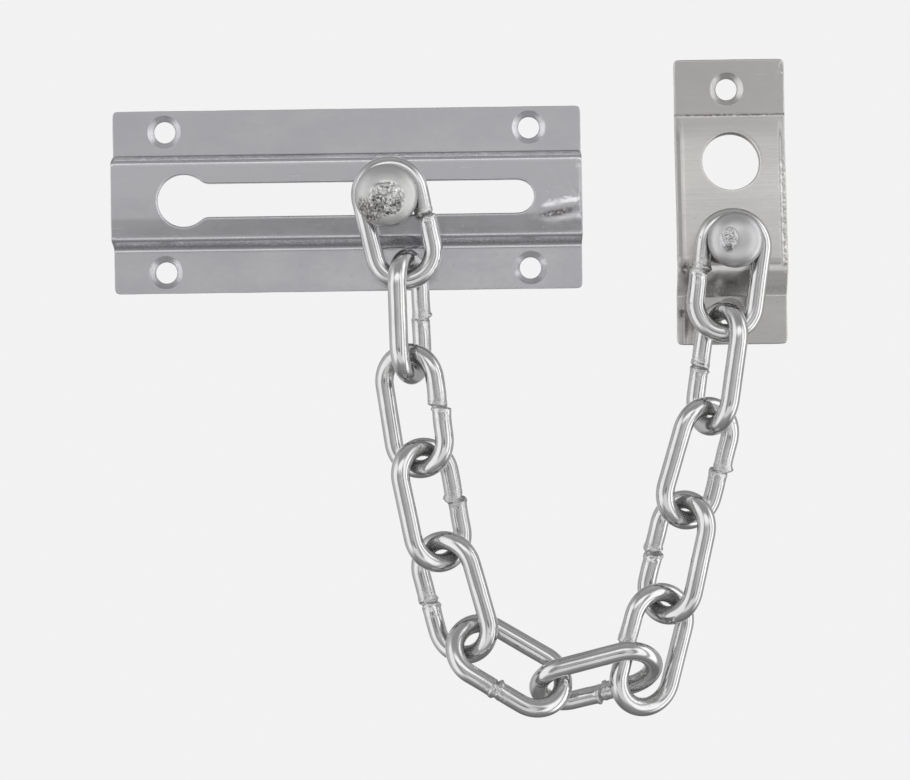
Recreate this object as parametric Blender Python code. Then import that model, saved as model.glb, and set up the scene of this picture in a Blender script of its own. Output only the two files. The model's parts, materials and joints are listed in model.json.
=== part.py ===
"""Door chain guard: a slotted slide plate for the door, a keeper plate for the frame, and a chain.

Metres, +Z up. The back faces of both plates lie in the plane Y = 0, and the front looks along -Y. The
origin is the centre of the slide plate's four screw holes. X runs along the slot, from the keyhole to
the keeper.
"""

from math import atan2, cos, pi, radians, sin

import bmesh
import bpy
from mathutils import Matrix, Vector

MM = 0.001
GAP = 0.25 * MM  # between pieces that touch on the real object
SAME_POINT = 0.001 * MM  # points this close are one

SHEET = 1.6 * MM  # thickness of both pressed plates
BEND_RADIUS = 1.5 * MM  # of a bend, at the middle of the sheet
SCREW_HOLE_RADIUS = 2.6 * MM
COUNTERSINK_RADIUS = 4 * MM
COUNTERSINK_DEPTH = 1.1 * MM

PLATE_LENGTH = 110 * MM
PLATE_HEIGHT = 43 * MM
SCREW_SPACING = (85.6 * MM, 33 * MM)
CHANNEL_RISE = 5.5 * MM  # front of the flange to the crown of the channel
CHANNEL_ARCH = 0.6 * MM  # how far the crown stands above the channel's edges
CHANNEL_BASE = 10.2 * MM  # half width of the channel where it leaves the flanges
CHANNEL_TOP = 8.7 * MM  # half width of the channel at its front
CROWN_Y = -(SHEET + CHANNEL_RISE)

KEYHOLE_X = -38 * MM
KEYHOLE_RADIUS = 6.1 * MM
SLOT_RADIUS = 3.85 * MM
SLOT_END_X = 39.9 * MM  # centre of the slot's round end

SLIDER_X = 9.4 * MM  # where the slider stands at rest
NECK_RADIUS = 3.4 * MM
KNOB_RADIUS = 7.3 * MM
KNOB_BACK_Y = -12.6 * MM
KNOB_DOME = 4.6 * MM
FOOT_RADIUS = 5.8 * MM
FOOT_THICKNESS = 1.6 * MM
TAIL_RADIUS = 2.4 * MM  # riveted end of a stud
RIVET_RADIUS = 3.4 * MM
RIVET_HEIGHT = 0.7 * MM

DOME_RIM = 0.18  # share of a domed head's height that its upright rim takes

KEEPER_X = 90 * MM
KEEPER_Z = -1.7 * MM
KEEPER_WIDTH = 26 * MM
KEEPER_HALF_HEIGHT = 33.55 * MM
# Heights on the keeper, from its middle
KEEPER_RAMP_TOP_Z = 20.3 * MM
KEEPER_RAMP_FOOT_Z = -14.9 * MM
KEEPER_STEP_Z = -22 * MM
KEEPER_RISE = 3.9 * MM
KEEPER_SCREW_X = 89.4 * MM  # punched a little off centre
KEEPER_SCREW_Z = 26.5 * MM
KEEPER_HOLE_Z = 9.2 * MM
KEEPER_HOLE_RADIUS = 6.75 * MM
STUD_POINT = (89.9 * MM, -11.2 * MM)  # X and Z of the keeper's stud
STUD_NECK_RADIUS = 3 * MM
STUD_HEAD_RADIUS = 6.45 * MM
STUD_BACK_Y = -11.2 * MM
STUD_DOME = 4.2 * MM

WIRE_RADIUS = 2.25 * MM
LINK_LENGTH = 27.2 * MM  # between the wire's centres, end to end
LINK_ARC = 6.85 * MM  # radius of the wire's centre line round each end
LINK_STRAIGHT = LINK_LENGTH - 2 * LINK_ARC
WELD_LENGTH = 3 * MM
WELD_SWELL = 0.25 * MM

HOLE_SEGMENTS = 20
BIG_HOLE_SEGMENTS = 28
HEAD_SEGMENTS = 24
DOME_STEPS = 5
BEND_STEPS = 3
KEYHOLE_STEPS = 18
SLOT_END_STEPS = 8
LINK_ARC_STEPS = 8
WIRE_SIDES = 10

# swing turns a link from straight down towards the keeper, roll turns its flat side away from the plates'
# plane, and lean tips its lower end to the front. weld is the side of the limb that is joined.
# name: (X, Y, Z of the upper wire's centre in mm, swing, roll, lean in degrees, weld)
CHAIN = {
    "link_01": (8.6, -9.8, 7.1, 13.2, 0, 3, 1),
    "link_02": (14.1, -10.5, -14.3, 1.2, -68, 1, 1),
    "link_03": (13.2, -10.7, -36.2, 8.2, 30, 1, 1),
    "link_04": (16.2, -11.2, -58.1, 11.2, -34, 1, 1),
    "link_05": (20.3, -11.4, -79.8, 15.2, 29, 0, -1),
    "link_06": (24.5, -12.9, -101.6, 59.2, -31, 2, -1),
    "link_07": (69.3, -13.3, -108.1, -75.4, -47.7, -6.5, 1),
    "link_08": (72.9, -9.5, -92.6, -14.8, -25, 1, -1),
    "link_09": (78.4, -9.7, -71.2, -12.8, 42, 0, -1),
    "link_10": (84.5, -9.9, -49.7, -16.8, -31, 0, 1),
    "link_11": (87.4, -10.1, -27.4, -8.8, 60, 1, -1),
    "link_12": (90.7, -8.2, -5.8, -8.8, 0, 4, -1),
}
# X and Z of the axis that each end link turns about. The other links turn about their own upper wire.
STUD_AXES = {"link_01": (SLIDER_X, 0), "link_12": STUD_POINT}


def clear_scene():
    for obj in list(bpy.data.objects):
        bpy.data.objects.remove(obj)


def make_material(name, colour, roughness):
    material = bpy.data.materials.new(name)
    material.use_nodes = True
    shader = material.node_tree.nodes["Principled BSDF"]
    shader.inputs["Base Color"].default_value = (*colour, 1)
    shader.inputs["Roughness"].default_value = roughness
    shader.inputs["Metallic"].default_value = 1
    material.diffuse_color = (*colour, 1)
    return material


def make_object(name, mesh_data, material=None, smooth_angle=30):
    """An object of a bmesh, which is used up."""
    bmesh.ops.recalc_face_normals(mesh_data, faces=mesh_data.faces)
    mesh = bpy.data.meshes.new(name)
    mesh_data.to_mesh(mesh)
    mesh_data.free()
    mesh.shade_smooth()
    mesh.set_sharp_from_angle(angle=radians(smooth_angle))
    if material:
        mesh.materials.append(material)
    obj = bpy.data.objects.new(name, mesh)
    bpy.context.scene.collection.objects.link(obj)
    return obj


def prism(outline, axis_vector, place):
    """A bmesh of a flat outline, given as points (a, b) that place turns into 3-D, pushed along axis_vector."""
    mesh_data = bmesh.new()
    face = mesh_data.faces.new([mesh_data.verts.new(place(a, b)) for a, b in outline])
    pushed = bmesh.ops.extrude_face_region(mesh_data, geom=[face])["geom"]
    moved = [item for item in pushed if isinstance(item, bmesh.types.BMVert)]
    bmesh.ops.translate(mesh_data, vec=axis_vector, verts=moved)
    return mesh_data


def turned(profile, segments):
    """A bmesh of (radius, Y) points turned once round the Y axis. Points of radius 0 close its ends."""
    mesh_data = bmesh.new()
    rings = []
    for radius, y in profile:
        count = segments if radius > 0 else 1
        angles = [2 * pi * i / segments for i in range(count)]
        rings.append([mesh_data.verts.new((radius * cos(a), y, radius * sin(a))) for a in angles])
    for first, second in zip(rings, rings[1:]):
        for i in range(segments):
            j = (i + 1) % segments
            corners = [first[i % len(first)], first[j % len(first)]]
            corners += [second[j % len(second)], second[i % len(second)]]
            mesh_data.faces.new(list(dict.fromkeys(corners)))
    return mesh_data


def round_bends(points, radius, steps=BEND_STEPS):
    """The open line through points, with an arc of this radius at each inner point."""
    line = [Vector(points[0])]
    for before, corner, after in zip(points, points[1:], points[2:]):
        inward = (Vector(before) - Vector(corner)).normalized()
        outward = (Vector(after) - Vector(corner)).normalized()
        half = inward.angle(outward) / 2
        reach = radius * cos(half) / sin(half)
        centre = Vector(corner) + (inward + outward).normalized() * radius / sin(half)
        start = Vector(corner) + inward * reach - centre
        end = Vector(corner) + outward * reach - centre
        sweep = start.angle_signed(end)
        for i in range(steps + 1):
            turn = -sweep * i / steps
            line.append(centre + Matrix.Rotation(turn, 2) @ start)
    line.append(Vector(points[-1]))
    return line


def thickened(line, thickness):
    """The closed outline of a sheet of this thickness whose middle runs along an open line."""
    sides = ([], [])
    for i, point in enumerate(line):
        along = (line[min(i + 1, len(line) - 1)] - line[max(i - 1, 0)]).normalized()
        normal = Vector((-along.y, along.x)) * thickness / 2
        sides[0].append(point + normal)
        sides[1].append(point - normal)
    return sides[0] + sides[1][::-1]


def cut(obj, name, mesh_data, location):
    """Takes a helper shape out of obj with a Boolean."""
    cutter = make_object(name, mesh_data)
    cutter.location = location
    cutter.hide_render = True
    cutter.display_type = "WIRE"
    boolean = obj.modifiers.new(name, "BOOLEAN")
    boolean.operation = "DIFFERENCE"
    boolean.object = cutter


def screw_hole_shape():
    """A through hole with a countersink that opens at the flange's front face."""
    front = -SHEET
    deep = front + COUNTERSINK_DEPTH
    profile = [
        (0, front - MM),
        (COUNTERSINK_RADIUS, front - MM),
        (COUNTERSINK_RADIUS, front),
        (SCREW_HOLE_RADIUS, deep),
        (SCREW_HOLE_RADIUS, MM),
        (0, MM),
    ]
    return turned(profile, HOLE_SEGMENTS)


def round_hole_shape(radius, front_y, segments):
    return turned([(0, front_y), (radius, front_y), (radius, MM), (0, MM)], segments)


def keyhole_shape():
    """The slider's slot, with the wide round end that the slider's foot passes through."""
    meet = (KEYHOLE_RADIUS**2 - SLOT_RADIUS**2) ** 0.5
    opening = atan2(SLOT_RADIUS, meet)
    outline = []
    for i in range(KEYHOLE_STEPS + 1):
        angle = opening + (2 * pi - 2 * opening) * i / KEYHOLE_STEPS
        outline.append((KEYHOLE_X + KEYHOLE_RADIUS * cos(angle), KEYHOLE_RADIUS * sin(angle)))
    for i in range(SLOT_END_STEPS + 1):
        angle = -pi / 2 + pi * i / SLOT_END_STEPS
        outline.append((SLOT_END_X + SLOT_RADIUS * cos(angle), SLOT_RADIUS * sin(angle)))
    return prism(outline, (0, 10 * MM, 0), lambda x, z: (x, CROWN_Y - MM, z))


def make_slide_plate(material):
    middle = -SHEET / 2
    edge_y = CROWN_Y + SHEET / 2 + CHANNEL_ARCH
    corners = [(PLATE_HEIGHT / 2, middle), (CHANNEL_BASE, middle), (CHANNEL_TOP, edge_y)]
    corners += [(0, edge_y - CHANNEL_ARCH)]
    corners += [(-z, y) for z, y in corners[-2::-1]]
    outline = thickened(round_bends(corners, BEND_RADIUS), SHEET)
    shape = prism(outline, (PLATE_LENGTH, 0, 0), lambda z, y: (-PLATE_LENGTH / 2, y, z))
    plate = make_object("slide_plate", shape, material)
    cut(plate, "keyhole_cutter", keyhole_shape(), (0, 0, 0))
    for row in (-1, 1):
        for side in (-1, 1):
            place = (side * SCREW_SPACING[0] / 2, 0, row * SCREW_SPACING[1] / 2)
            cut(plate, f"door_screw_cutter_{row}_{side}", screw_hole_shape(), place)


def make_keeper_plate(material):
    middle = -SHEET / 2
    corners = [
        (KEEPER_HALF_HEIGHT, middle),
        (KEEPER_RAMP_TOP_Z, middle),
        (KEEPER_RAMP_FOOT_Z, middle - KEEPER_RISE),
        (KEEPER_STEP_Z, middle),
        (-KEEPER_HALF_HEIGHT, middle),
    ]
    outline = thickened(round_bends(corners, BEND_RADIUS), SHEET)
    left = KEEPER_X - KEEPER_WIDTH / 2
    shape = prism(outline, (KEEPER_WIDTH, 0, 0), lambda z, y: (left, y, KEEPER_Z + z))
    plate = make_object("keeper_plate", shape, material)
    front_y = -(SHEET + KEEPER_RISE + MM)
    for z in (KEEPER_SCREW_Z, -KEEPER_SCREW_Z):
        cut(plate, f"frame_screw_cutter_{z > 0:d}", screw_hole_shape(), (KEEPER_SCREW_X, 0, KEEPER_Z + z))
    big_hole = round_hole_shape(KEEPER_HOLE_RADIUS, front_y, BIG_HOLE_SEGMENTS)
    cut(plate, "parking_hole_cutter", big_hole, (KEEPER_X, 0, KEEPER_Z + KEEPER_HOLE_Z))
    stud_hole = round_hole_shape(TAIL_RADIUS + GAP, front_y, HOLE_SEGMENTS)
    cut(plate, "stud_hole_cutter", stud_hole, (STUD_POINT[0], 0, STUD_POINT[1]))


def dome(radius, back_y, height):
    """Profile of a domed head: a short rim, then a quarter of an ellipse to the axis."""
    rim = DOME_RIM * height
    points = [(radius, back_y)]
    for i in range(DOME_STEPS + 1):
        angle = pi / 2 * i / DOME_STEPS
        points.append((radius * cos(angle), back_y - rim - (height - rim) * sin(angle)))
    points[-1] = (0, back_y - height)
    return points


def make_slider(material):
    """The knob and the foot that is riveted to its tail behind the channel's web."""
    foot_front = CROWN_Y + SHEET + CHANNEL_ARCH + GAP
    foot_back = foot_front + FOOT_THICKNESS
    rivet_front = foot_back + GAP
    profile = [
        (0, rivet_front + RIVET_HEIGHT),
        (RIVET_RADIUS, rivet_front + RIVET_HEIGHT / 2),
        (RIVET_RADIUS, rivet_front),
        (TAIL_RADIUS, rivet_front),
        (TAIL_RADIUS, foot_front - GAP),
        (NECK_RADIUS, foot_front - GAP),
        (NECK_RADIUS, KNOB_BACK_Y),
    ]
    profile += dome(KNOB_RADIUS, KNOB_BACK_Y, KNOB_DOME)
    knob = make_object("slider_knob", turned(profile, HEAD_SEGMENTS), material)
    inner = TAIL_RADIUS + GAP
    ring = [(inner, foot_front), (FOOT_RADIUS, foot_front), (FOOT_RADIUS, foot_back), (inner, foot_back)]
    foot_shape = turned(ring + ring[:1], HEAD_SEGMENTS)
    bmesh.ops.remove_doubles(foot_shape, verts=foot_shape.verts, dist=SAME_POINT)
    foot = make_object("slider_foot", foot_shape, material)
    for piece in (knob, foot):
        piece.location.x = SLIDER_X


def keeper_front_y(z):
    """Front face of the keeper's ramp at a height."""
    part = (KEEPER_Z + KEEPER_RAMP_TOP_Z - z) / (KEEPER_RAMP_TOP_Z - KEEPER_RAMP_FOOT_Z)
    return -SHEET - KEEPER_RISE * part


def make_keeper_stud(material):
    """The stud that holds the last link, riveted through the ramp."""
    shoulder = keeper_front_y(STUD_POINT[1] - STUD_NECK_RADIUS) - GAP
    tail_end = keeper_front_y(STUD_POINT[1] + RIVET_RADIUS) + SHEET + GAP
    profile = [
        (0, tail_end + RIVET_HEIGHT),
        (RIVET_RADIUS, tail_end + RIVET_HEIGHT / 2),
        (RIVET_RADIUS, tail_end),
        (TAIL_RADIUS, tail_end),
        (TAIL_RADIUS, shoulder),
        (STUD_NECK_RADIUS, shoulder),
        (STUD_NECK_RADIUS, STUD_BACK_Y),
    ]
    profile += dome(STUD_HEAD_RADIUS, STUD_BACK_Y, STUD_DOME)
    stud = make_object("keeper_stud", turned(profile, HEAD_SEGMENTS), material)
    stud.location = (STUD_POINT[0], 0, STUD_POINT[1])


def link_stations(weld):
    """Points (across, down, wire radius, direction) round a link, from its upper wire's centre."""
    stations = []
    for top, first in ((True, 0), (False, pi)):
        centre = LINK_ARC if top else LINK_ARC + LINK_STRAIGHT
        for i in range(LINK_ARC_STEPS + 1):
            angle = first + pi * i / LINK_ARC_STEPS
            stations.append((LINK_ARC * cos(angle), centre - LINK_ARC * sin(angle), WIRE_RADIUS, angle))
        side = -1 if top else 1
        if side == weld:
            middle = LINK_ARC + LINK_STRAIGHT / 2
            order = (-1, 0, 1) if top else (1, 0, -1)
            for step in order:
                swell = WELD_SWELL if step == 0 else 0
                down = middle + step * WELD_LENGTH / 2
                stations.append((side * LINK_ARC, down, WIRE_RADIUS + swell, pi if top else 0))
    return stations


def link_shape(weld, top):
    """One welded link: a round wire bent into a long oval, with a swollen joint in one limb.

    The link hangs along -Z from top, the centre of its upper wire.
    """
    mesh_data = bmesh.new()
    rings = []
    for across, down, radius, angle in link_stations(weld):
        centre = top + Vector((across, 0, -down))
        outward = Vector((cos(angle), 0, sin(angle)))
        ring = []
        for i in range(WIRE_SIDES):
            turn = 2 * pi * i / WIRE_SIDES
            offset = outward * cos(turn) * radius + Vector((0, sin(turn) * radius, 0))
            ring.append(mesh_data.verts.new(centre + offset))
        rings.append(ring)
    for first, second in zip(rings, rings[1:] + rings[:1]):
        for i in range(WIRE_SIDES):
            j = (i + 1) % WIRE_SIDES
            mesh_data.faces.new((first[i], first[j], second[j], second[i]))
    return mesh_data


def link_rotation(swing, roll, lean):
    """Turns a link that hangs down, flat to the plates, into its place."""
    swing, roll, lean = radians(swing), radians(roll), radians(lean)
    turn_swing = Matrix.Rotation(-swing, 3, "Y")
    turn_lean = Matrix.Rotation(-lean, 3, "X")
    turn_roll = Matrix.Rotation(-roll, 3, "Z")
    return (turn_swing @ turn_lean @ turn_roll).to_4x4()


def make_chain(material):
    """Each link's origin lies on the axis that the link turns about."""
    for name, (x, y, z, swing, roll, lean, weld) in CHAIN.items():
        top = Vector((x, y, z)) * MM
        axis_x, axis_z = STUD_AXES.get(name, (top.x, top.z))
        pivot = Vector((axis_x, top.y, axis_z))
        turn = link_rotation(swing, roll, lean)
        shape = link_shape(weld, turn.inverted() @ (top - pivot))
        link = make_object(name, shape, material, smooth_angle=60)
        link.matrix_world = Matrix.Translation(pivot) @ turn


def main():
    clear_scene()
    make_slide_plate(make_material("slide_plate_zinc", (0.62, 0.64, 0.68), 0.28))
    make_slider(make_material("knob_zinc", (0.56, 0.56, 0.57), 0.35))
    make_keeper_plate(make_material("keeper_plate_zinc", (0.58, 0.57, 0.56), 0.33))
    make_keeper_stud(make_material("stud_zinc", (0.60, 0.60, 0.60), 0.30))
    make_chain(make_material("chain_chrome", (0.66, 0.66, 0.67), 0.18))


main()
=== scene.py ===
"""Looks of the door chain guard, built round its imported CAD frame.

Each CAD node is replaced by a finer piece of the same size: pressed and punched sheet for the two
plates, turned and hammered heads for the knob and the stud, and welded wire links for the chain.
Lengths are in millimetres until a mesh is made, in the frame's axes: X along the slot, -Y to the
front and Z up.
"""

import json
from math import atan2, ceil, copysign, cos, hypot, pi, radians, sin, tan

import bmesh
import bpy
import numpy as np
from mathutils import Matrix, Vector, noise
from mathutils.geometry import delaunay_2d_cdt

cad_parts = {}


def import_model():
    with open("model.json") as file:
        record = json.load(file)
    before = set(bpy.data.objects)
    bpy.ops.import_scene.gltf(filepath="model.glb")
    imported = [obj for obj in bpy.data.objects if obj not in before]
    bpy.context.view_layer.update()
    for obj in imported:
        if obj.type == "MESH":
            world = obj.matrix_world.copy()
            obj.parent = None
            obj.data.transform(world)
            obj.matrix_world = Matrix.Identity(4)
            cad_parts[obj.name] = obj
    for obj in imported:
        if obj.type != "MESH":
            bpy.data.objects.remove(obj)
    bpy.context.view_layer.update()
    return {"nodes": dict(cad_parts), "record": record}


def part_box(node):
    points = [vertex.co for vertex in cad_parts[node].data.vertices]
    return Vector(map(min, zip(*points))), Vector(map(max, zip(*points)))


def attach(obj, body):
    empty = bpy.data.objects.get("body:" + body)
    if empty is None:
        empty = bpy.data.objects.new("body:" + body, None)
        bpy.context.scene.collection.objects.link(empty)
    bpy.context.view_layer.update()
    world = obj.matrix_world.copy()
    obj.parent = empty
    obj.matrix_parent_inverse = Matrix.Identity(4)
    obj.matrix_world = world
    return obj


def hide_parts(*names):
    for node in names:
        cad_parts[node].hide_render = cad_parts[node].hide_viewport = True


MM = 0.001
BACKGROUND = 0.889  # linear grey behind the object
LAYERS = ("edge", "rough", "grime_and_shade", "polish")  # what a piece can say about its surface, from 0 to 1

SHEET = 1.6
BACK_ROUNDING = 0.12  # of each cut edge
GUARD = 0.12  # flat strip beside a rounded edge, which keeps the shading of the face flat
EDGE_SPACING = 0.3  # between the points along a cut edge
OUTLINE_PASSES = 16  # how often a plate's corners are eased
HOLE_PASSES = 14
SCREW_HOLE_RADIUS = 2.6
COUNTERSINK_RADIUS = 4.0
COUNTERSINK_DEPTH = 1.1

SCREW_SPACING = (85.6, 33)
CHANNEL_ARCH = 0.6
CHANNEL_BASE = 10.2
CHANNEL_TOP = 8.7
CHANNEL_BENDS = (0.4, 0.35, 30, 12, 12, 0.4, 2.2)  # radius at each corner, from top to bottom
KEYHOLE_X = -38
KEYHOLE_RADIUS = 6.1
SLOT_RADIUS = 3.85
SLOT_END_X = 39.9
DENT_X = 49  # the dent beside the slot's end
DENT_SLOPE = 0.16

KEEPER_RAMP_TOP_Z = 20.3  # heights on the keeper are from its middle
KEEPER_RAMP_FOOT_Z = -14.9
KEEPER_STEP_Z = -22
KEEPER_RISE = 3.9
KEEPER_BENDS = (0.8, 5, 2)
KEEPER_SCREW_Z = 26.5
KEEPER_SCREW_X = -0.6
KEEPER_HOLE_Z = 9.2
KEEPER_HOLE_RADIUS = 6.75
KEEPER_HOLE_SHIFT = (0.24, 0.4)  # of the large hole's front, against its back
KEEPER_FLAT = 11.6  # from the keeper's middle to where its sides turn

TAIL_RADIUS = 2.4
TAIL_CLEARANCE = 0.2
RIVET_RADIUS = 3.4
RIVET_HEIGHT = 0.7
KNOB_DOME = 4.6
KNOB_NECK_RADIUS = 3.4
KNOB_SHOULDER_Y = -4.9
STUD_DOME = 4.2
STUD_NECK_RADIUS = 3.0
FOOT_BORE_RADIUS = 2.52

WIRE_RADIUS = 2.25
LINK_ARC = 6.85
LINK_STRAIGHT = 13.5
WELD_REACH = 2.6  # how far each way of a weld's middle the wire has closer points

# How far each link's upper wire end stands out at its weld. The lower end stands in as far.
WELDS = {
    "link_01": -0.5,
    "link_02": 0.2,
    "link_03": -0.6,
    "link_04": -0.4,
    "link_05": 0.5,
    "link_06": 0.3,
    "link_07": -0.2,
    "link_08": 0.3,
    "link_09": 0.35,
    "link_10": 0.45,
    "link_11": -0.3,
    "link_12": -0.35,
}
STAINED = ("link_01", "link_12")  # the links whose welds rust against a rivet

# How bright the studio looks at an angle in degrees from the front, going left, right, up and down.
STUDIO = {
    "left": (
        *((0, 0.62), (14, 0.58), (22, 0.46), (38, 0.4), (46, 1.25), (78, 1.3)),
        *((88, 0.75), (112, 0.65), (128, 0.5), (148, 0.5), (156, 0.9)),
    ),
    "right": (
        *((0, 0.6), (10, 0.62), (15, 0.85), (26, 0.8), (32, 0.42), (37, 0.42), (43, 1.45)),
        *((60, 1.45), (66, 0.6), (72, 0.6), (76, 1.8), (94, 1.8), (100, 0.6), (118, 0.5)),
        *((150, 0.45), (158, 0.9)),
    ),
    "up": (
        *((0, 0.76), (3, 0.76), (6, 0.62), (9, 0.54), (12, 0.5), (15, 0.66), (20, 0.88)),
        *((25, 1.4), (37, 1.4), (46, 0.42), (62, 0.4), (90, 0.5), (120, 0.36)),
        *((153, 0.28), (160, 0.9)),
    ),
    "down": (
        *((0, 0.76), (2, 0.66), (5, 0.38), (8, 0.25), (15, 0.25), (21, 1.0)),
        *((44, 0.95), (56, 0.42), (76, 0.32), (110, 0.22), (148, 0.2), (158, 0.9)),
    ),
}
BRIGHTEST = 2.0  # what the ramps' full value stands for

PIT_COLOUR = (0.12, 0.11, 0.1, 1)
TORN_COLOUR = (0.16, 0.15, 0.14, 1)
# Colour of dirt, and of the painted shade in creases, hollows and where parts meet.
DIRT_AND_SHADE_COLOUR = (0.045, 0.033, 0.026, 1)
SCRATCHES = ((0.12, 0.79), (-0.5, 0.8), (1.2, 0.82))  # the turn of each set, and how rare it is

CAMERA_X, CAMERA_Y, CAMERA_Z = 24.64, -600, -44.98
CAMERA_ROLL = 0.8  # degrees
VIEW_WIDTH = 214.3  # what the picture spans in the plane of the door
SENSOR_WIDTH = 36
FLOOR_HALF, FLOOR_Z = 0.3, -0.3  # metres


# ---------------------------------------------------------------- shader graphs


class Graph:
    """Adds shader nodes to a tree and links them as they are made."""

    def __init__(self, tree):
        self.tree = tree
        tree.nodes.clear()

    def node(self, kind, settings=None, **inputs):
        """A node of this kind. An input is given by its name, or by i and its number."""
        made = self.tree.nodes.new("ShaderNode" + kind)
        for key, value in (settings or {}).items():
            setattr(made, key, value)
        for key, value in inputs.items():
            index = key[1:]
            socket = made.inputs[int(index) if index.isdigit() else key.replace("_", " ")]
            if isinstance(value, bpy.types.NodeSocket):
                self.tree.links.new(value, socket)
            else:
                socket.default_value = value
        return made

    def math(self, operation, *values):
        inputs = {f"i{i}": value for i, value in enumerate(values)}
        return self.node("Math", {"operation": operation}, **inputs).outputs[0]

    def total(self, value, *parts):
        """value, with each part's (value, share) added as their product."""
        for part, share in parts:
            value = self.math("MULTIPLY_ADD", part, share, value)
        return value

    def scaled(self, vector, factor):
        made = self.node("VectorMath", {"operation": "SCALE"}, i0=vector, Scale=factor)
        return made.outputs[0]

    def smooth(self, value, low, high, to_low=0.0, to_high=1.0):
        """value, eased from to_low at low to to_high at high."""
        settings = {"interpolation_type": "SMOOTHSTEP"}
        made = self.node("MapRange", settings, i0=value, i1=low, i2=high, i3=to_low, i4=to_high)
        return made.outputs[0]

    def noise(self, points, scale, detail=2.0, rough=0.5):
        made = self.node("TexNoise", Vector=points, Scale=scale, Detail=detail, Roughness=rough)
        return made.outputs[0]

    def stretched(self, points, scale, turn=0.0, shift=(0, 0, 0)):
        """points turned about Y and scaled by a different amount along each axis."""
        settings = {"vector_type": "POINT"}
        made = self.node("Mapping", settings, i0=points, i1=shift, i2=(0, turn, 0), i3=scale)
        return made.outputs[0]

    def mix(self, share, first, second):
        """Colours mixed."""
        made = self.node("Mix", {"data_type": "RGBA"}, i0=share, i6=first, i7=second)
        return made.outputs[2]

    def attribute(self, name, output="Fac"):
        return self.node("Attribute", {"attribute_name": name}).outputs[output]


def make_metal(name, tints, roughness, brushed=0.0, grain=1.0, scratches=0.5, wire=False):
    """Plated steel: tints is its colour where it is cleanest and dullest.

    A piece's layers say where it is sheared (edge), hammered or welded (rough), dirty or darkened
    by painted shade (grime_and_shade) and rubbed bright (polish). brushed is the depth of the lines
    that rolling or drawing left, in thousandths of a millimetre.
    """
    material = bpy.data.materials.new(name)
    material.use_nodes = True
    graph = Graph(material.node_tree)
    if wire:
        points = graph.attribute("wire", "Vector")
        drawn, stroke = (1, 1, 0.05), (1.5, 1.5, 0.1)
    else:
        points = graph.scaled(graph.node("TexCoord").outputs["Object"], 1 / MM)
        drawn, stroke = (0.05, 1, 1), (0.09, 1, 2.4)
    edge, rough, grime_and_shade, polish = (graph.attribute(layer) for layer in LAYERS)

    cloudy = graph.noise(graph.stretched(points, (0.5, 1, 1)), 0.13, 4, 0.55)
    patchy = graph.noise(points, 0.6, 5, 0.65)
    fine = graph.noise(points, 2.6, 4, 0.7)
    lines = graph.noise(graph.stretched(points, drawn), 2.2, 3, 0.6)
    streaks = graph.noise(graph.stretched(points, drawn, shift=(7, 3, 5)), 0.8, 2, 0.5)

    scratch = 0.0
    for i, (turn, rarity) in enumerate(SCRATCHES):
        strokes = graph.stretched(points, stroke, turn, (i * 9, i * 4, i))
        hit = graph.smooth(graph.noise(strokes, 1.1, 1, 0.4), rarity - 0.035, rarity)
        scratch = graph.math("MAXIMUM", scratch, hit)
    scratch = graph.math("MULTIPLY", scratch, scratches)

    cells = graph.node("TexVoronoi", {"feature": "F1"}, Vector=points, Scale=0.45, Randomness=1.0)
    pit_here = graph.smooth(graph.noise(points, 0.35, 1), 0.5, 0.62)
    pits = graph.smooth(cells.outputs["Distance"], 0.1, 0.04)
    pits = graph.math("MULTIPLY", pits, pit_here)

    uneven = graph.smooth(graph.noise(points, 1.3, 5, 0.7), 0.3, 0.58)
    # Dirt, and painted shade in creases, hollows and where parts meet, broken up by noise.
    dirt_and_shade = graph.math("MULTIPLY", grime_and_shade, uneven)
    torn = graph.math("MULTIPLY", rough, graph.smooth(fine, 0.5, 0.68, 0, 0.5))
    tone = graph.smooth(graph.math("ADD", cloudy, graph.math("MULTIPLY", patchy, 0.35)), 0.45, 0.9)
    colour = graph.mix(tone, (*tints[0], 1), (*tints[1], 1))
    colour = graph.mix(graph.math("MULTIPLY", pits, 0.55), colour, PIT_COLOUR)
    colour = graph.mix(torn, colour, TORN_COLOUR)
    # Darkened towards the dirt colour wherever there is dirt or painted shade, which also turn it
    # duller and less metallic.
    colour = graph.mix(graph.math("MULTIPLY", dirt_and_shade, 0.85), colour, DIRT_AND_SHADE_COLOUR)

    shine = graph.total(
        graph.math("ADD", roughness, graph.math("MULTIPLY_ADD", patchy, 0.12, -0.06)),
        (graph.math("SUBTRACT", cloudy, 0.5), 0.18),
        (scratch, 0.12),
        (rough, 0.08),
        (dirt_and_shade, 0.35),
        (polish, -0.3),
    )
    height = graph.total(
        graph.math("MULTIPLY", lines, brushed),
        (streaks, brushed * 1.5),
        (fine, 1.5 * grain),
        (patchy, 6 * grain),
        (scratch, -4),
        (pits, -30),
        (graph.math("MULTIPLY", edge, fine), 55),
        (graph.math("MULTIPLY", rough, fine), 70),
    )
    bump = graph.node("Bump", Strength=1.0, Distance=1e-6, Height=height).outputs[0]

    shader = graph.node("BsdfPrincipled", Base_Color=colour, Roughness=shine, Normal=bump)
    graph.tree.links.new(graph.total(1, (dirt_and_shade, -0.7)), shader.inputs["Metallic"])
    graph.node("OutputMaterial", Surface=shader.outputs[0])
    return material


def make_glow(name, grey):
    """Evenly pale, whatever light falls on it."""
    material = bpy.data.materials.new(name)
    material.use_nodes = True
    graph = Graph(material.node_tree)
    glow = graph.node("Emission", Color=(grey, grey, grey, 1), Strength=1.0).outputs[0]
    graph.node("OutputMaterial", Surface=glow)
    return material


# ---------------------------------------------------------------- meshes


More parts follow.
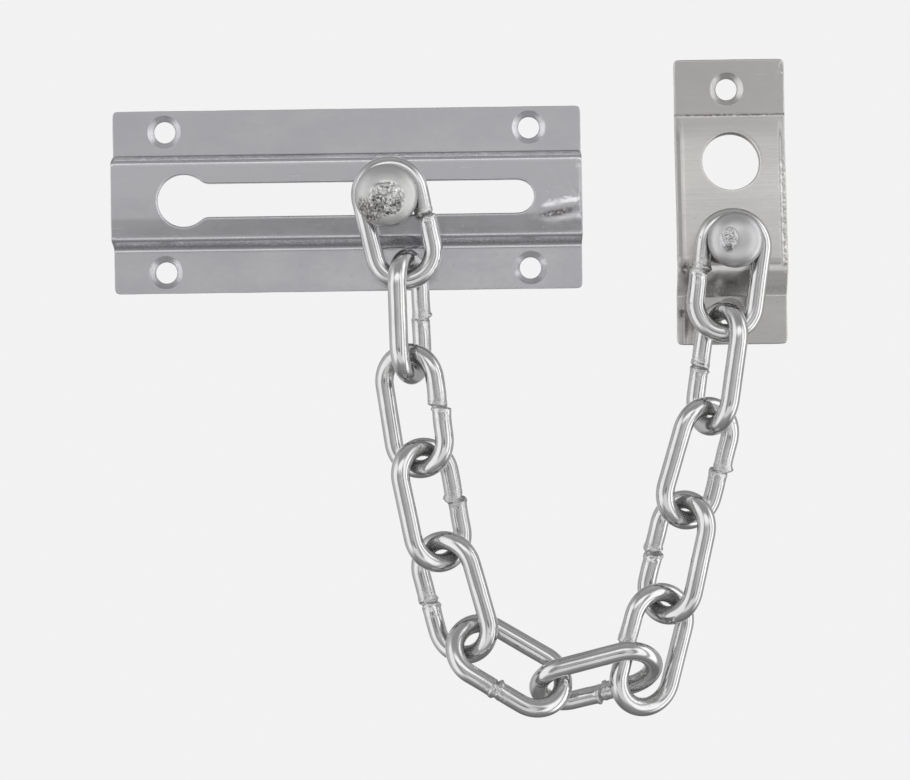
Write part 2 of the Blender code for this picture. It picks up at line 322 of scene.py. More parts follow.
def make_piece(name, body, nodes, material, points, faces, layers):
    """A smooth-shaded piece of arrays in mm, which rides on a body and stands for CAD nodes.

    layers holds values at each point. A layer that it leaves out is zero.
    """
    mesh = bpy.data.meshes.new(name)
    mesh.from_pydata((np.asarray(points) * MM).tolist(), [], faces)
    shape = bmesh.new()
    shape.from_mesh(mesh)
    bmesh.ops.recalc_face_normals(shape, faces=shape.faces)
    shape.to_mesh(mesh)
    shape.free()
    mesh.shade_smooth()
    mesh.materials.append(material)
    empty = dict.fromkeys(LAYERS, np.zeros(len(points)))
    for layer, values in {**empty, **layers}.items():
        values = np.asarray(values, np.float32)
        kind, key = ("FLOAT", "value") if values.ndim == 1 else ("FLOAT_VECTOR", "vector")
        mesh.attributes.new(layer, kind, "POINT").data.foreach_set(key, values.ravel())
    obj = bpy.data.objects.new(name, mesh)
    bpy.context.scene.collection.objects.link(obj)
    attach(obj, body)
    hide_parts(*nodes)


def in_mm(box):
    """The low and the high corner of a frame box, in mm."""
    return [np.array(corner) / MM for corner in box]


def noise_at(points, size, seed=0.0):
    """Smooth noise, about -1 to 1, at an array of points, with lumps of this size."""
    shift = Vector((seed * 17.3, seed * 5.1, seed * 9.7))
    return np.array([noise.noise(Vector(point) / size + shift) for point in points])


def facets_at(points, size, seed=0.0):
    """Height of flat facets of about this size, each tilted its own way, at an array of points."""
    heights = []
    for point in points:
        place = Vector(point) / size
        nearest = noise.voronoi(place)[1][0]
        tilt = noise.cell_vector(nearest * 7.3 + Vector((seed, 0, 0)))
        heights.append((place - nearest).dot(tilt - Vector((0.5, 0.5, 0.5))) * size)
    return np.array(heights)


def bump_at(x, centre, width):
    """A smooth hump, 1 high at centre."""
    return np.exp(-(((x - centre) / width) ** 2))


def eased(value, low, high):
    """0 up to low and 1 from high on, with a smooth rise between. low may be the larger one."""
    share = np.clip((value - low) / (high - low), 0, 1)
    return share * share * (3 - 2 * share)


def quads_between(first, second):
    """Faces between two closed rings of vertex numbers."""
    return [(first[i - 1], first[i], second[i], second[i - 1]) for i in range(len(first))]


# ---------------------------------------------------------------- pressed sheet


def bent_line(corners, radii, creases=(), steps=14, spacing=0.6):
    """The middle line of a bent sheet through corners (z, y), from top to bottom.

    radii gives a radius for each corner but the first and last. Points lie closer together at the
    heights in creases. Returns arrays: distance along the line, z, y and slope, the angle by which
    the line leans to the back.
    """
    corners = [np.array(corner, float) for corner in corners]
    slopes = [atan2(b[1] - a[1], a[0] - b[0]) for a, b in zip(corners, corners[1:])]
    rows = []
    at = corners[0]
    for i, slope in enumerate(slopes):
        along = np.array((-cos(slope), sin(slope)))
        last = i == len(slopes) - 1
        turn, radius = (0, 0) if last else (slopes[i + 1] - slope, radii[i])
        end = corners[i + 1] - along * radius * abs(tan(turn / 2))
        count = max(1, ceil(np.linalg.norm(end - at) / spacing))
        rows += [(*(at + (end - at) * k / count), slope) for k in range(count + last)]
        if last:
            break
        side = copysign(radius, turn)
        centre = end + side * np.array((sin(slope), cos(slope)))
        for k in range(steps + 1):
            angle = slope + turn * k / steps
            at = centre - side * np.array((sin(angle), cos(angle)))
            if k < steps:
                rows.append((*at, angle))
    z, y, slope = np.array(rows).T
    length = np.concatenate([[0], np.cumsum(np.hypot(np.diff(z), np.diff(y)))])
    extra = [np.interp(-crease, -z, length) + np.arange(-6, 7) * 0.12 for crease in creases]
    every = np.clip(np.concatenate([length, *extra]), 0, length[-1])
    every = np.unique(np.round(every, 3))
    return every, *(np.interp(every, length, line) for line in (z, y, slope))


def even_loop(points, spacing, passes):
    """A closed line read at even steps, with its corners eased by averaging."""
    points = np.array([*points, points[0]], float)
    length = np.concatenate([[0], np.cumsum(np.linalg.norm(np.diff(points, axis=0), axis=1))])
    count = round(length[-1] / spacing)
    at = np.arange(count) * length[-1] / count
    loop = np.stack([np.interp(at, length, points[:, k]) for k in (0, 1)], axis=1)
    for _ in range(passes):
        loop = (np.roll(loop, 1, 0) + 2 * loop + np.roll(loop, -1, 0)) / 4
    return loop


def turned_about(loop, clockwise):
    """The closed line, running clockwise or the other way."""
    area = np.sum(loop[:, 0] * np.roll(loop[:, 1], -1) - np.roll(loop[:, 0], -1) * loop[:, 1])
    return loop[::-1] if (area > 0) == clockwise else loop


def left_normals(loop):
    along = np.roll(loop, -1, 0) - np.roll(loop, 1, 0)
    along /= np.linalg.norm(along, axis=1)[:, None]
    return np.stack([-along[:, 1], along[:, 0]], axis=1)


def inside(points, loop):
    """Which points lie inside a closed line."""
    x, y = points[:, :1], points[:, 1:]
    ax, ay = loop.T
    bx, by = np.roll(loop, -1, 0).T
    crosses = (ay > y) != (by > y)
    with np.errstate(divide="ignore", invalid="ignore"):
        left = x < (bx - ax) * (y - ay) / (by - ay) + ax
    return (crosses & left).sum(axis=1) % 2 == 1


def between(points, borders):
    """Which points lie inside the first closed line and outside the others."""
    keep = inside(points, borders[0])
    for border in borders[1:]:
        keep &= ~inside(points, border)
    return keep


def arc(x, z, radius, angles):
    return [(x + radius * cos(a), z + radius * sin(a)) for a in angles]


def circle(x, z, radius):
    return arc(x, z, radius, np.linspace(0, 2 * pi, 120, endpoint=False))


def rectangle(left, right, bottom, top):
    return [(left, top), (left, bottom), (right, bottom), (right, top)]


def with_back(line):
    """A cut edge's (inset, depth) line, carried on round its back edge."""
    turns = np.radians([0, 22, 45, 68, 90])
    line = line + [
        (BACK_ROUNDING * (1 - cos(a)), SHEET - BACK_ROUNDING * (1 - sin(a))) for a in turns
    ]
    return line + [(BACK_ROUNDING + GUARD, SHEET)]


def sheared_edge(front):
    """(inset, depth) down a cut edge whose front is rounded by this radius."""
    turns = np.radians([0, 22, 45, 68, 90])
    line = [(front + GUARD, 0)]
    line += [(front * (1 - sin(a)), front * (1 - cos(a))) for a in turns]
    line += [(0, front + (SHEET - front - BACK_ROUNDING) * k / 4) for k in range(1, 4)]
    return with_back(line)


def countersunk_edge():
    """(inset, depth) down a screw hole and its countersink."""
    lead, start = COUNTERSINK_RADIUS - SCREW_HOLE_RADIUS, 0.05
    line = [(lead + 0.1 + GUARD, 0), (lead + 0.06, 0), (lead + 0.02, 0.01), (lead - 0.02, start)]
    for k in range(1, 5):
        line.append((lead * (1 - k / 5), start + (COUNTERSINK_DEPTH - start) * k / 5))
    line += [(0.03, COUNTERSINK_DEPTH), (0, COUNTERSINK_DEPTH + 0.06)]
    return with_back(line)


def fill(borders, rows, pitch):
    """Points and triangles that fill the first closed line and leave the others open.

    The borders' own points come first. The others lie on these rows, pitch apart.
    """
    columns = np.arange(borders[0][:, 0].min(), borders[0][:, 0].max(), pitch)
    grid = np.array([(x + pitch / 2 * (k % 2), s) for k, s in enumerate(rows) for x in columns])
    grid = grid[between(grid, borders)]
    edge_points = np.concatenate(borders)
    near = np.zeros(len(grid), bool)
    batch = 400  # edge points at once, to save memory
    for start in range(0, len(edge_points), batch):
        gap = grid[:, None] - edge_points[None, start : start + batch]
        near |= (np.einsum("ijk,ijk->ij", gap, gap) < EDGE_SPACING**2).any(axis=1)
    flat = np.concatenate([edge_points, grid[~near]])

    limits, first = [], 0
    for border in borders:
        numbers = list(range(first, first + len(border)))
        limits += list(zip(numbers, numbers[1:] + numbers[:1]))
        first += len(border)
    made = delaunay_2d_cdt([Vector(point) for point in flat], limits, [], 0, 1e-7, True)
    source = [ids[0] for ids in made[3]]
    triangles = np.array([[source[i] for i in face] for face in made[2]])
    return flat, triangles[between(flat[triangles].mean(axis=1), borders)]


def make_sheet(name, slot, material, profile, outer, holes, warp, painted_shade, seed, pitch):
    """A pressed plate of the bent line profile.

    outer is its outline and holes its openings, each as (points (x, z), cut edge) and, where the
    front of the cut is out of line with its back, how far (x, z). warp gives how far to the back a
    point (x, z) of the sheet lies, and painted_shade how much painted shade darkens its front.
    """
    length, line_z, line_y, line_slope = profile
    loops = []
    for i, (shape, cut, *offset) in enumerate([outer, *holes]):
        shape = [(x, np.interp(-z, -line_z, length)) for x, z in shape]
        loop = even_loop(shape, EDGE_SPACING, HOLE_PASSES if i else OUTLINE_PASSES)
        loop = turned_about(loop, clockwise=i > 0)
        spread = np.column_stack([loop, np.full(len(loop), i * 7.0)])
        wave = 0.05 * (1 + noise_at(spread, 9, seed)) + 0.02 * (1 + noise_at(spread, 1.3, seed))
        wave *= 0.2 if i else 1.0
        normal = left_normals(loop)
        across, up = offset[0] if offset else (0, 0)
        shift = np.array((across, -up))
        rings = [
            loop + normal * (wave + inset)[:, None] + shift * max(0, 1 - depth / (SHEET / 2))
            for inset, depth in cut
        ]
        loops.append((rings, [depth for _, depth in cut]))

    flat, triangles = fill([rings[0] for rings, _ in loops], length[1:-1], pitch)
    count = len(flat)
    last_rings = np.concatenate([rings[-1] for rings, _ in loops])
    back = np.concatenate([last_rings, flat[len(last_rings) :]])
    places, depths = [flat, back], [np.zeros(count), np.full(count, SHEET)]
    faces = [tuple(face) for face in (*triangles[:, ::-1], *(triangles + count))]
    first, total = 0, 2 * count
    for rings, ring_depths in loops:
        size = len(rings[0])
        before = list(range(first, first + size))
        for ring, depth in zip(rings[1:-1], ring_depths[1:-1]):
            places.append(ring)
            depths.append(np.full(size, depth))
            numbers = list(range(total, total + size))
            faces += quads_between(numbers, before)
            before, total = numbers, total + size
        faces += quads_between([count + first + k for k in range(size)], before)
        first += size
    places, depths = np.concatenate(places), np.concatenate(depths)

    x, s = places.T
    z, y, slope = (np.interp(s, length, line) for line in (line_z, line_y, line_slope))
    lift = SHEET / 2 - depths - warp(x, z)
    points = np.stack([x, y - np.cos(slope) * lift, z - np.sin(slope) * lift], axis=1)
    edge = ((depths > 0) & (depths < SHEET)).astype(float)
    torn = edge * bump_at(depths, SHEET * 0.7, SHEET * 0.3)
    points += 0.03 * torn[:, None] * np.stack([noise_at(points, 0.35, k) for k in range(3)], axis=1)
    # The front half of the sheet is darkened by painted shade.
    layers = {"edge": edge, "grime_and_shade": np.where(depths < SHEET / 2, painted_shade(x, z), 0)}
    make_piece(name, "plates", [name], material, points, faces, layers)


def make_slide_plate(material):
    low, high = in_mm(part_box("slide_plate"))
    half_height = high[2]
    crown = low[1] + SHEET / 2
    flange = [(half_height, -SHEET / 2), (CHANNEL_BASE, -SHEET / 2)]
    web = [
        (CHANNEL_TOP, crown + 0.4),
        (0, crown),
        (-4, crown + 0.08),
        (-6, crown + 0.29),
        (-CHANNEL_TOP, crown + CHANNEL_ARCH),
    ]
    profile = bent_line(flange + web + [(-z, y) for z, y in flange[::-1]], CHANNEL_BENDS)

    opening = atan2(SLOT_RADIUS, (KEYHOLE_RADIUS**2 - SLOT_RADIUS**2) ** 0.5)
    round_end = np.linspace(opening, 2 * pi - opening, 90)
    keyhole = arc(KEYHOLE_X, 0, KEYHOLE_RADIUS, round_end)
    keyhole += arc(SLOT_END_X, 0, SLOT_RADIUS, np.linspace(-pi / 2, pi / 2, 40))
    holes = [(keyhole, sheared_edge(0.5))]
    for row in (-1, 1):
        for side in (-1, 1):
            place = (side * SCREW_SPACING[0] / 2, row * SCREW_SPACING[1] / 2)
            holes.append((circle(*place, SCREW_HOLE_RADIUS), countersunk_edge()))
    outline = rectangle(low[0], high[0], -half_height, half_height)

    def warp(x, z):
        flat = np.column_stack([x, z, np.zeros(len(x))])
        web = eased(CHANNEL_BASE - np.abs(z), 0, 2)
        drift = 0.05 * (1 + noise_at(flat * (0.5, 1, 1), 16, 1))
        drift += 0.006 * (1 + noise_at(flat * (0.4, 1, 1), 4, 2))
        # A dent stands out as a slanted ridge, grainy above it, with an upright ridge on its right.
        tilted = z + 2.7 - (x - DENT_X) * DENT_SLOPE + 0.45 * noise_at(flat, 3, 10)
        dented = -0.36 * bump_at(tilted, 0, np.where(tilted > 0, 1.3, 2.4))
        dented *= eased(x, 43.5, 47.5) * eased(x, 57, 53.5)
        grainy = 0.06 * noise_at(flat, 0.5, 7) * eased(x, 42.5, 46) * eased(x, 55, 52)
        grainy *= eased(tilted, -0.2, 0.8) * eased(z, 5, 2)
        upright = 0.17 * bump_at(x, 54.1, 0.33) * eased(z, -6, -4) * eased(z, 8, 6)
        return drift * (2 * web - 1) + (dented + grainy - upright) * web

    def painted_shade(x, z):
        # Painted shade along the channel's two bends and in a strip below the dent.
        lower = 0.6 * bump_at(z, 0.6 - CHANNEL_BASE, 0.9)
        upper = 0.7 * bump_at(z, CHANNEL_BASE - 0.6, 0.8)
        dent = 1.9 * bump_at(x, DENT_X, 4) * bump_at(z, -3.9 + (x - DENT_X) * DENT_SLOPE, 0.7)
        return np.clip(lower + upper + dent, 0, 1)

    outer = (outline, sheared_edge(0.22))
    sheet = (profile, outer, holes, warp, painted_shade)
    make_sheet("slide_plate", "slide_plate_zinc", material, *sheet, seed=1, pitch=0.6)


def make_keeper_plate(material):
    low, high = in_mm(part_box("keeper_plate"))
    centre, level = (low[0] + high[0]) / 2, (low[2] + high[2]) / 2
    top, foot, step = level + KEEPER_RAMP_TOP_Z, level + KEEPER_RAMP_FOOT_Z, level + KEEPER_STEP_Z
    middle = -SHEET / 2
    corners = [(high[2], middle), (top, middle), (foot, middle - KEEPER_RISE)]
    corners += [(step, middle), (low[2], middle)]
    profile = bent_line(corners, KEEPER_BENDS, (top,), spacing=0.4)

    holes = []
    for z in (KEEPER_SCREW_Z, -KEEPER_SCREW_Z):
        hole = circle(centre + KEEPER_SCREW_X, level + z, SCREW_HOLE_RADIUS)
        holes.append((hole, countersunk_edge()))
    large = circle(centre, level + KEEPER_HOLE_Z, KEEPER_HOLE_RADIUS)
    holes.append((large, sheared_edge(0.5), KEEPER_HOLE_SHIFT))
    stud_low, stud_high = in_mm(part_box("keeper_stud"))
    stud = (stud_low + stud_high) / 2
    holes.append((circle(stud[0], stud[2], TAIL_RADIUS + TAIL_CLEARANCE), sheared_edge(0.15)))
    outline = rectangle(low[0], high[0], low[2], high[2])

    def warp(x, z):
        flat = np.column_stack([x, z, np.zeros(len(x))])
        drift = 0.04 * (1 + noise_at(flat * (0.6, 1, 1), 12, 5))
        drift += 0.005 * (1 + noise_at(flat * (0.5, 1, 1), 3, 6))
        ramp = eased(z, foot - 1, foot + 2) * eased(z, top, top - 6)
        # The ramp's sides turn back: behind a slight rim on the left, and sharply on the right.
        side = np.abs(x - centre) - KEEPER_FLAT
        rimmed = 0.27 * np.maximum(side, 0) - 0.07 * bump_at(side, -0.1, 0.32)
        sharp = 0.1 * np.maximum(side, 0) + 0.14 * eased(side, -0.05, 0.3)
        rolled = np.where(x < centre, rimmed, 0) + np.where(x > centre, sharp, 0)
        # The right side is chipped.
        torn = np.maximum(eased(z, top - 9, top - 12), eased(z, high[2] - 5, high[2] - 4))
        torn *= 0.4 * bump_at(x, high[0] - 0.6, 0.75) * eased(z, foot - 2, foot)
        chipped = torn * np.maximum(0, noise_at(flat, 0.45, 14))
        # The ramp is a little hollow below its top crease, and has a fold below its foot.
        below = np.maximum(0, top - z)
        bowed = 0.058 * below * np.exp(-below / 10) + 0.05 * bump_at(z, top, 0.22)
        fold = bump_at(x, centre - 11.0 + (z - step) * 0.04, 0.42)
        fold *= 0.2 * eased(z, step - 2, step - 3.5)
        return drift * (2 * ramp - 1) + rolled * ramp + chipped + bowed - fold + 0.05

    def painted_shade(x, z):
        # Painted shade in two corners on the left side, by the ramp's foot and below the step, and
        # along the step and the top crease.
        corner = bump_at(np.hypot(x - centre + 11.4, (z - foot + 0.6) / 1.6), 0, 0.8)
        corner += bump_at(np.hypot(x - centre + 11.6, z - step + 4), 0, 1.1)
        seam = 0.35 * bump_at(z, step + 1.8, 1.0) + 1.2 * bump_at(z, top + 0.1, 0.3)
        return np.clip(1.5 * corner + seam, 0, 1)

    outer = (outline, sheared_edge(0.35))
    sheet = (profile, outer, holes, warp, painted_shade)
    make_sheet("keeper_plate", "keeper_plate_zinc", material, *sheet, seed=4, pitch=0.4)


# ---------------------------------------------------------------- turned pieces


def dense(line, spacing=0.5):
    """A line with points added so that none are further apart than spacing."""
    made = [line[0]]
    for (r0, y0), (r1, y1) in zip(line, line[1:]):
        count = max(1, ceil(hypot(r1 - r0, y1 - y0) / spacing))
        for k in range(1, count + 1):
            made.append((r0 + (r1 - r0) * k / count, y0 + (y1 - y0) * k / count))
    return made


def dome(radius, back, height):
    """(radius, y) of a domed head from its back edge to its axis."""
    rim, ease, steps = 0.18 * height, 0.35, 90
    turns = np.linspace(0, pi / 2, 6)
    line = [(radius - ease * (1 - sin(a)), back - ease * (1 - cos(a))) for a in turns]
    for a in np.linspace(0, pi / 2, steps)[1:-1]:
        line.append((radius * cos(a), back - rim - (height - rim) * sin(a)))
    return line + [(0, back - height)]


def rivet(end):
    """(radius, y) of a hammered tail that stands behind end, from its axis to the tail's side."""
    turns = np.linspace(0, pi / 2, 14)
    line = [(RIVET_RADIUS * sin(a), end + RIVET_HEIGHT * (0.45 + 0.55 * cos(a))) for a in turns]
    return line + [(RIVET_RADIUS, end + 0.08), (RIVET_RADIUS - 0.08, end), (TAIL_RADIUS, end)]


def riveted_head(radius, back, height, shoulder, neck, tail_end):
    """(radius, y) of a domed head with its neck and riveted tail, from the back to the front."""
    line = rivet(tail_end) + [(TAIL_RADIUS, shoulder), (neck - 0.1, shoulder)]
    line = dense(line + [(neck, shoulder - 0.1), (neck, back)])
    return line[:-1] + dome(radius, back, height)


def make_turned(name, body, slot, material, line, centre, relief, closed=False, segments=160):
    """A turned piece of a (radius, y) line round the Y axis through centre.

    relief gives, for points (x, y, z) measured from that axis, how far each is moved towards the
    back, and its rough, grime_and_shade and polish values.
    """
    rings, points, faces = [], [], []
    for radius, y in line:
        count = segments if radius > 1e-6 else 1
        angles = np.arange(count) * 2 * pi / segments
        rings.append([len(points) + i for i in range(count)])
        points += [(radius * cos(a), y, radius * sin(a)) for a in angles]
    for a, b in list(zip(rings, rings[1:])) + ([(rings[-1], rings[0])] if closed else []):
        for i in range(segments):
            j = (i + 1) % segments
            ring = [a[i % len(a)], a[j % len(a)], b[j % len(b)], b[i % len(b)]]
            faces.append(tuple(dict.fromkeys(ring)))
    points = np.array(points)
    moved, rough, grime_and_shade, polish = relief(points)
    points[:, 1] += moved
    points += centre * (1, 0, 1)
    layers = {"rough": rough, "grime_and_shade": grime_and_shade, "polish": polish}
    make_piece(name, body, [name], material, points, faces, layers)


def make_knob(material):
    low, high = in_mm(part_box("slider_knob"))
    back, tail_end = low[1] + KNOB_DOME, high[1] - RIVET_HEIGHT
    radius = (high[0] - low[0]) / 2
    line = riveted_head(radius, back, KNOB_DOME, KNOB_SHOULDER_Y, KNOB_NECK_RADIUS, tail_end)

    def relief(p):
        x, y, z = p.T
        front, tail = y < back - 0.8, y > tail_end
        # The hammered core, whose facets are deepest in its lower part.
        peen = np.hypot(x - 0.3, z + 0.9)
        core = eased(peen, 4.1, 3.4) * front
        below = eased(-z, -0.3, 1.5)
        hammered = facets_at(p, 0.8, 3) + 0.35 * facets_at(p, 0.4, 4)
        moved = 2.4 * core * (0.35 + 0.65 * below) * hammered
        # The flattened place above it, with a raised rim.
        flat = np.hypot((x + 0.5) / 1.5, (z - 0.85) / 0.9)
        moved += front * (0.42 * eased(flat, 1.3, 0.7) - 0.2 * bump_at(flat, 1.65, 0.35))
        # The dark scuff at the lower left.
        scuff = 2 * bump_at(np.hypot(x, z), 5.6, 1.1) * bump_at(np.arctan2(z, x), -2.4, 0.4)
        scuff = np.clip(scuff, 0, 1) * front
        stripes = eased(noise_at(p * (2.6, 1, 0.7), 0.5, 8), -0.35, 0.25)
        moved += 0.25 * scuff * stripes
        moved -= 0.12 * tail * (1 + noise_at(p, 0.8, 9))
        # The scuff's stripes are dirty. The lower part of a ring round the hammered core is darker,
        # and painted shade darkens the back of the head and its neck.
        grime_and_shade = 3 * scuff * stripes + 0.45 * core * below * bump_at(peen, 3.0, 0.8)
        grime_and_shade = np.clip(grime_and_shade + 0.5 * (~front & ~tail), 0, 1)
        rough = np.clip(0.12 * core * below + scuff + 0.7 * tail, 0, 1)
        return moved, rough, grime_and_shade, eased(peen, 4.6, 3.6) * front

    centre = (low + high) / 2
    make_turned("slider_knob", "slider", "knob_zinc", material, line, centre, relief)


def make_foot(material):
    low, high = in_mm(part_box("slider_foot"))
    ease = 0.3
    rim, front, back = (high[0] - low[0]) / 2 - ease, low[1] + ease, high[1] - ease
    turns = np.linspace(0, pi / 2, 6)
    line = [(FOOT_BORE_RADIUS, low[1])]
    line += [(rim + ease * sin(a), front - ease * cos(a)) for a in turns]
    line += [(rim + ease * cos(a), back + ease * sin(a)) for a in turns]
    line = dense(line + [(FOOT_BORE_RADIUS, high[1])])

    def relief(p):
        r = np.hypot(p[:, 0], p[:, 2])
        moved = 0.02 * (1 + noise_at(p, 1.6, 12)) * (p[:, 1] < (low[1] + high[1]) / 2)
        # Painted shade, darker towards the bore.
        return moved, 0.25 + 0.3 * eased(r, 4.5, 5.5), 0.35 * eased(r, 4.2, 3.4), np.zeros(len(p))

    centre = (low + high) / 2
    turned = (line, centre, relief)
    make_turned("slider_foot", "slider", "knob_zinc", material, *turned, closed=True, segments=96)


def make_stud(material):
    low, high = in_mm(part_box("keeper_stud"))
    back, tail_end = low[1] + STUD_DOME, high[1] - RIVET_HEIGHT
    radius, shoulder = (high[0] - low[0]) / 2, tail_end - SHEET - 0.7
    line = riveted_head(radius, back, STUD_DOME, shoulder, STUD_NECK_RADIUS, tail_end)

    def relief(p):
        x, y, z = p.T
        front, tail = y < back - 0.8, y > tail_end
        # A worn facet left of the middle, with a nick at its lower end.
        lumps = facets_at(p, 0.6, 21) + 0.6 * facets_at(p, 0.3, 22)
        worn = eased(np.hypot((x + 1.8) / 1.7, (z + 0.1) / 2.3), 1.35, 0.6) * front
        nick = bump_at(np.hypot((x + 1.8) / 1.4, z + 2.0), 0, 0.6) * front
        moved = worn * (0.26 * (x + 1.8) + 0.27 * (z + 0.1) + 0.6 * lumps)
        moved += nick * (0.15 + 1.4 * lumps)
        moved -= 0.12 * tail * (1 + noise_at(p, 0.8, 23))
        rough = np.clip(0.1 * worn + 0.8 * nick + 0.7 * tail, 0, 1)
        # The nick is dark, and painted shade darkens the back of the head and its neck.
        return moved, rough, np.clip(1.6 * nick + 0.4 * (~front & ~tail), 0, 1), worn

    centre = (low + high) / 2
    make_turned("keeper_stud", "plates", "stud_zinc", material, line, centre, relief)


# ---------------------------------------------------------------- chain


def link_place(node):
    """Centre in mm and axes of a CAD link: across to its weld, through its flat side, along it."""
    mesh = node.data
    corners = np.array([vertex.co for vertex in mesh.vertices]) / MM
    faces = np.array([np.append(polygon.center, polygon.area) for polygon in mesh.polygons])
    middles, areas = faces[:, :3] / MM, faces[:, 3]
    centre = np.average(middles, axis=0, weights=areas)
    _, axes = np.linalg.eigh(np.cov((middles - centre).T, aweights=areas))
    long_axis = axes[:, 2] * copysign(1, axes[2, 2])
    local = corners - centre
    high = local @ long_axis
    middle = (high.max() + high.min()) / 2
    weld_side = np.mean(local[np.abs(high - middle) < 2.5] @ axes[:, 1])
    across = axes[:, 1] * copysign(1, weld_side)
    axes = np.stack([across, np.cross(long_axis, across), long_axis], axis=1)
    return centre + long_axis * middle, axes


def link_centreline():
    """Distances from the weld's middle once round a link, closer together at the weld."""
    weld = np.arange(-WELD_REACH, WELD_REACH + 0.01, 0.13)
    total = 2 * LINK_STRAIGHT + 2 * pi * LINK_ARC
    rest = np.linspace(weld[-1], total + weld[0], 98)[1:-1]
    return np.concatenate([weld, rest]), total


def centre_at(along, total):
    """Places (across, up) and outward directions on a link's centre line."""
    along = np.mod(along, total)
    half, bend = LINK_STRAIGHT / 2, pi * LINK_ARC
    places, outward = np.empty((len(along), 2)), np.empty((len(along), 2))
    for i, t in enumerate(along):
        if t < half or t > total - half:
            up = t if t < half else t - total
            places[i], outward[i] = (LINK_ARC, up), (1, 0)
        elif t < half + bend:
            angle = (t - half) / LINK_ARC
            outward[i] = cos(angle), sin(angle)
            places[i] = outward[i] * LINK_ARC + (0, half)
        elif t < half + bend + LINK_STRAIGHT:
            places[i], outward[i] = (-LINK_ARC, half - (t - half - bend)), (-1, 0)
        else:
            angle = pi + (t - half - bend - LINK_STRAIGHT) / LINK_ARC
            outward[i] = cos(angle), sin(angle)
            places[i] = outward[i] * LINK_ARC - (0, half)
    return places, outward


def make_link(name, body, node, material, seed):
    """A link of round wire, butt welded in one limb, with its ends out of line as WELDS says."""
    rng = np.random.default_rng(seed)
    centre, axes = link_place(node)
    along, total = link_centreline()
    sides = 36
    places, outward = (np.repeat(rows, sides, axis=0) for rows in centre_at(along, total))
    jog = WELDS[name], rng.uniform(0.1, 0.3) * rng.choice([-1, 1])

    rounds = np.arange(sides) * 2 * pi / sides
    along, angle = (grid.ravel() for grid in np.meshgrid(along, rounds, indexing="ij"))
    outer = np.cos(angle)
    wire = np.column_stack([WIRE_RADIUS * outer, WIRE_RADIUS * np.sin(angle), along])
    slant, lean = rng.uniform(0.25, 0.6), rng.uniform(-pi, pi)
    from_weld = np.where(along > total / 2, along - total, along) + slant * np.cos(angle - lean)
    from_weld += 0.3 * noise_at(wire * (1, 1, 0.2), 1.1, seed + 0.9)
    step = np.tanh(from_weld / 0.3) * np.exp(-np.abs(from_weld) / 2.2)

    # Where the wire thickens to a bead on each side of the weld, and where it is pinched between.
    radius = WIRE_RADIUS - 0.08 + 0.03 * noise_at(wire * (1, 1, 0.25), 1.6, seed)
    for end in (-1, 1):
        turn, size = rng.uniform(-pi, pi), rng.uniform(0.2, 0.42)
        lump = 0.15 + 0.85 * np.maximum(0, np.cos(angle - turn)) ** 2
        bead = bump_at(from_weld, end * rng.uniform(0.5, 1.1), rng.uniform(0.3, 0.7))
        radius += size * lump * bead
    turn = rng.uniform(-pi, pi)
    open_side = np.cos((angle - turn) / 2) ** 2
    seam = bump_at(from_weld, 0, 0.35)
    radius -= rng.uniform(0.35, 0.6) * seam * (0.1 + 0.9 * open_side)
    bumpy = 0.22 * noise_at(wire, 1.0, seed + 0.3) + 0.14 * noise_at(wire, 0.5, seed + 0.6)
    radius += bump_at(from_weld, 0, 1.7) * bumpy

    across = places[:, 0] + outward[:, 0] * radius * outer + jog[0] * step
    up = places[:, 1] + outward[:, 1] * radius * outer
    through = radius * np.sin(angle) + jog[1] * step
    points = centre + np.column_stack([across, through, up]) @ axes.T
    rings = np.arange(len(points)).reshape(-1, sides).tolist()
    faces = [face for i in range(len(rings)) for face in quads_between(rings[i - 1], rings[i])]

    bend = eased(np.abs(places[:, 1]), LINK_STRAIGHT / 2 + 1, LINK_STRAIGHT / 2 + 4)
    # Painted shade on the inner side of each bend, where the next link lies, and dark weld seams.
    grime_and_shade = 0.55 * bend * eased(-outer, 0.1, 0.9) + 0.9 * seam * np.maximum(0.25, open_side)
    if name in STAINED:
        grime_and_shade += 1.3 * bump_at(from_weld, 0.9, 1.3) * np.maximum(0, -outer)
    rough = bump_at(from_weld, 0, 1.2) + 0.6 * bump_at(from_weld, 2, 2.4)
    layers = {
        "rough": np.clip(rough, 0, 1),
        "grime_and_shade": np.clip(grime_and_shade, 0, 1),
        "wire": wire + (seed * 13, seed * 7, 0),
    }
    make_piece("chain_" + name, body, [name], material, points, faces, layers)


# ---------------------------------------------------------------- studio


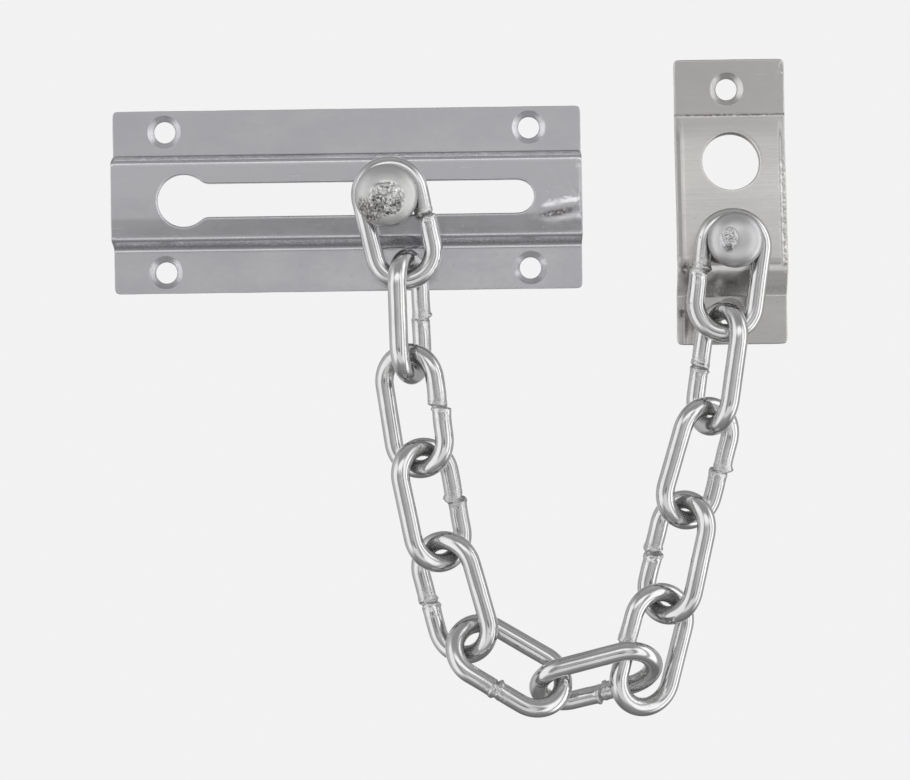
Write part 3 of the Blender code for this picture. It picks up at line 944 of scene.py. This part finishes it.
def make_world():
    """Soft panels of light round the object, seen in its metal, before a plain pale background."""
    world = bpy.data.worlds.new("studio")
    bpy.context.scene.world = world
    world.use_nodes = True
    graph = Graph(world.node_tree)
    direction = graph.node("TexCoord").outputs["Generated"]
    x, y, z = graph.node("SeparateXYZ", Vector=direction).outputs
    angle = graph.math("DIVIDE", graph.math("ARCCOSINE", graph.math("MULTIPLY", y, -1)), pi)
    across, rise = graph.math("MULTIPLY", x, x), graph.math("MULTIPLY", z, z)
    both = graph.math("ADD", graph.math("ADD", across, rise), 1e-6)
    sideways = graph.smooth(graph.math("DIVIDE", across, both), 0.25, 0.75)
    sides = {}
    for side, stops in STUDIO.items():
        ramp = graph.node("ValToRGB", i0=angle)
        ramp.color_ramp.interpolation = "EASE"
        marks = ramp.color_ramp.elements
        marks.remove(marks[1])
        for i, (degrees, grey) in enumerate(stops):
            mark = marks.new(degrees / 180) if i else marks[0]
            mark.color = (grey / BRIGHTEST,) * 3 + (1,)
        sides[side] = ramp.outputs[0]
    level = graph.mix(graph.math("GREATER_THAN", x, 0), sides["left"], sides["right"])
    upright = graph.mix(graph.math("GREATER_THAN", z, 0), sides["down"], sides["up"])
    light = graph.scaled(graph.mix(sideways, upright, level), BRIGHTEST)
    seen = graph.node("LightPath").outputs["Is Camera Ray"]
    colour = graph.mix(seen, light, (BACKGROUND, BACKGROUND, BACKGROUND, 1))
    background = graph.node("Background", Color=colour, Strength=1.0).outputs[0]
    graph.node("OutputWorld", Surface=background)


def make_floor():
    """A pale floor below the object, outside the photograph's view."""
    mesh = bpy.data.meshes.new("floor")
    signs = ((-1, -1), (1, -1), (1, 1), (-1, 1))
    corners = [(x * FLOOR_HALF, y * FLOOR_HALF, FLOOR_Z) for x, y in signs]
    mesh.from_pydata(corners, [], [(0, 1, 2, 3)])
    mesh.materials.append(make_glow("floor_pale", BACKGROUND))
    floor = bpy.data.objects.new("floor", mesh)
    bpy.context.scene.collection.objects.link(floor)
    floor.visible_glossy = floor.visible_diffuse = floor.visible_shadow = False


def make_camera():
    """Straight at the plates, from below the slot, and held a little askew."""
    camera = bpy.data.cameras.new("camera")
    camera.sensor_width = SENSOR_WIDTH
    camera.lens = SENSOR_WIDTH * -CAMERA_Y / VIEW_WIDTH
    camera.clip_start = 0.01
    obj = bpy.data.objects.new("camera", camera)
    obj.location = Vector((CAMERA_X, CAMERA_Y, CAMERA_Z)) * MM
    obj.rotation_euler = (radians(90), radians(CAMERA_ROLL), 0)
    bpy.context.scene.collection.objects.link(obj)
    bpy.context.scene.camera = obj


def main():
    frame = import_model()

    plate = make_metal(
        "slide_plate_finish", ((0.66, 0.66, 0.68), (0.60, 0.60, 0.63)), 0.2, brushed=1.5, grain=0.2
    )
    keeper = make_metal(
        "keeper_finish", ((0.62, 0.61, 0.59), (0.55, 0.54, 0.53)), 0.2, brushed=6.0, grain=0.25
    )
    knob = make_metal(
        "knob_finish", ((0.61, 0.61, 0.60), (0.55, 0.55, 0.55)), 0.42, grain=1.2, scratches=0.3
    )
    stud = make_metal(
        "stud_finish", ((0.58, 0.58, 0.58), (0.52, 0.52, 0.53)), 0.36, grain=0.5, scratches=0.3
    )
    tints = ((0.66, 0.66, 0.66), (0.58, 0.58, 0.58))
    chain = make_metal("chain_finish", tints, 0.1, brushed=15.0, grain=2.2, wire=True)

    make_slide_plate(plate)
    make_keeper_plate(keeper)
    make_knob(knob)
    make_foot(knob)
    make_stud(stud)
    bodies = frame["record"]["behaviour"]["bodies"]
    for body, nodes in sorted(bodies.items()):
        for node in nodes:
            if node.startswith("link_"):
                make_link(node, body, frame["nodes"][node], chain, int(node[-2:]))

    make_world()
    make_floor()
    make_camera()
    bpy.context.scene.view_settings.view_transform = "Standard"


main()
